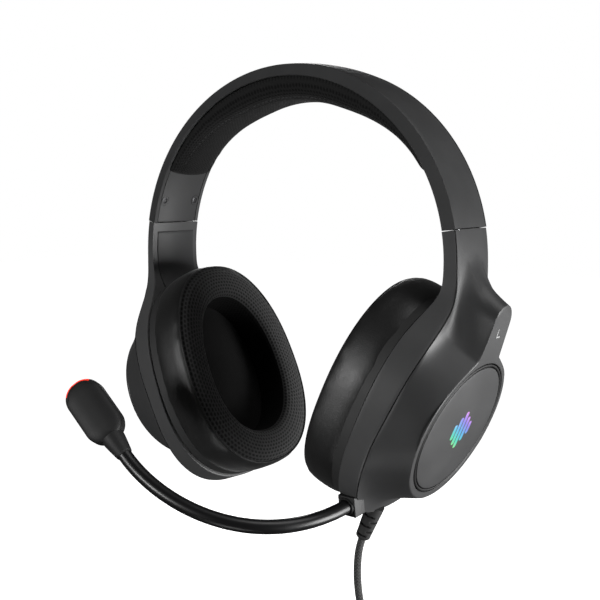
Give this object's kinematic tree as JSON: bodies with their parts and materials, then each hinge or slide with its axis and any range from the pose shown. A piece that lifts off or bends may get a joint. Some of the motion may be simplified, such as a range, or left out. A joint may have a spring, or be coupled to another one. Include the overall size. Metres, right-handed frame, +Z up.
{
  "type": "gaming headset",
  "caption": "Over-ear headset with a padded arch band, sliding tilted ear cups, a flexible boom microphone, and a lit emblem in each cup",
  "frame": {"origin": "underside of the headband cushion at its crown, where a head or stand holds the headset", "axes": "+X to the wearer's left, +Z up, -Y to the wearer's front, where the microphone is"},
  "size_m": [0.2087, 0.146, 0.3802],
  "materials": {
    "shell": "matte charcoal, fine spark-eroded texture",
    "trim": "matte charcoal, a little lighter than the shell",
    "dark": "matte black",
    "fabric": "black knitted mesh",
    "leatherette": "satin black leatherette",
    "steel": "satin",
    "gloss": "glossy black jacket over a flexible core",
    "rubber": "matte black",
    "board": "green circuit board",
    "lamp": "lit, running from green through blue to pink",
    "red_lamp": "lit red"
  },
  "bodies": {
    "headband": {"headband_cover": "shell", "headband_frame": "shell", "headband_spring": "steel", "headband_wire": "dark", "headband_cushion": "fabric", "end_plate_left": "trim", "end_plate_right": "trim", "end_screw_left_front": "steel", "end_screw_left_rear": "steel", "end_screw_right_front": "steel", "end_screw_right_rear": "steel", "slider_blade_left": "steel", "slider_blade_right": "steel"},
    "cup_left": {"housing_outer_left": "shell", "housing_inner_left": "trim", "arm_plate_left": "trim", "pad_ring_left": "dark", "baffle_left": "dark", "speaker_cloth_left": "fabric", "driver_left": "steel", "ear_pad_left": "leatherette", "disc_ring_left": "dark", "disc_cover_left": "shell", "emblem_lens_left": "lamp", "led_board_left": "board", "detent_spring_left": "steel", "main_board": "board", "mic_socket": "trim", "mic_grommet": "rubber", "gooseneck_root": "gloss", "strain_relief": "rubber", "cord": "fabric", "cord_coil": "fabric", "cord_tail": "fabric", "cord_tie": "rubber", "usb_plug_body": "rubber", "usb_plug_shell": "steel"},
    "cup_right": {"housing_outer_right": "shell", "housing_inner_right": "trim", "arm_plate_right": "trim", "pad_ring_right": "dark", "baffle_right": "dark", "speaker_cloth_right": "fabric", "driver_right": "steel", "ear_pad_right": "leatherette", "disc_ring_right": "dark", "disc_cover_right": "shell", "emblem_lens_right": "lamp", "led_board_right": "board", "detent_spring_right": "steel"},
    "volume_wheel": {"volume_wheel": "rubber"},
    "mute_button": {"mute_button": "rubber"},
    "boom_lower": {"gooseneck_lower": "gloss"},
    "boom_upper": {"gooseneck_upper": "gloss", "mic_neck": "trim", "mic_shell_front": "shell", "mic_shell_back": "trim", "mic_light": "red_lamp", "mic_capsule": "steel"}
  },
  "joints": [
    {"name": "slider_left", "type": "slide", "parent": "headband", "child": "cup_left", "axis": [0, 0, -1], "range_m": [0, 0.028]},
    {"name": "slider_right", "type": "slide", "parent": "headband", "child": "cup_right", "axis": [0, 0, -1], "range_m": [0, 0.028]},
    {"name": "volume_wheel_turn", "type": "hinge", "parent": "cup_left", "child": "volume_wheel", "pos_m": [0.05726, 0.0355, -0.15532], "axis": [0.9174, 0, -0.3979], "range_deg": [-140, 140]},
    {"name": "mute_press", "type": "slide", "parent": "cup_left", "child": "mute_button", "axis": [0, -1, 0], "range_m": [0, 0.0012], "stiffness_N_per_m": 800, "springref_m": -0.0006},
    {"name": "boom_root_bend", "type": "hinge", "parent": "cup_left", "child": "boom_lower", "pos_m": [0.04516, -0.04426, -0.18433], "axis": [1, 0, 0], "range_deg": [-12, 30]},
    {"name": "boom_mid_bend", "type": "hinge", "parent": "boom_lower", "child": "boom_upper", "pos_m": [0.01784, -0.08416, -0.18259], "axis": [0, 0, 1], "range_deg": [-18, 25]}
  ]
}
